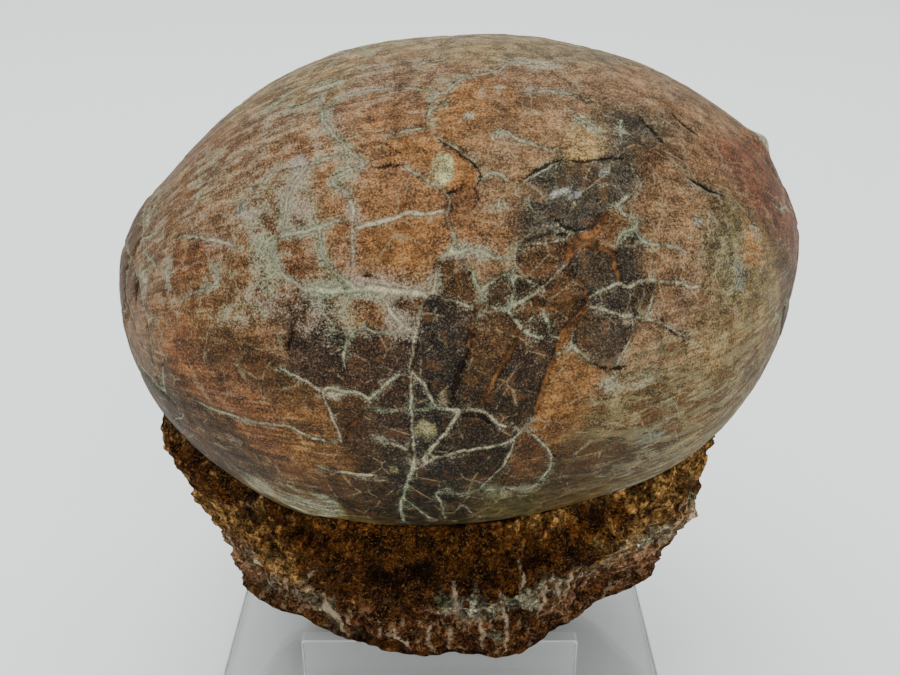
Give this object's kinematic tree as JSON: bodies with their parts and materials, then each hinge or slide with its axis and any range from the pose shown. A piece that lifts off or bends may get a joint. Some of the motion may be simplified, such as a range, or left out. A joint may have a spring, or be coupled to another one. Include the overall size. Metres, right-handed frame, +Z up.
{
  "type": "fossil dinosaur egg on a stand",
  "caption": "Long oval fossil dinosaur egg with a cracked, veined shell, seated in a block of its rock matrix on a low clear acrylic display stand.",
  "frame": {"origin": "middle of the underside of the stand's square base plate", "axes": "+Z up, +X along the egg's long axis towards its higher end, -Y towards the viewer in front"},
  "size_m": [0.1397, 0.102, 0.1445],
  "materials": {
    "fossil_shell": "satin",
    "rock_matrix": "matte",
    "clear_acrylic": "polished"
  },
  "bodies": {
    "root": {"egg": "fossil_shell", "matrix": "rock_matrix", "base_plate": "clear_acrylic", "front_rail": "clear_acrylic", "back_rail": "clear_acrylic"}
  },
  "joints": []
}
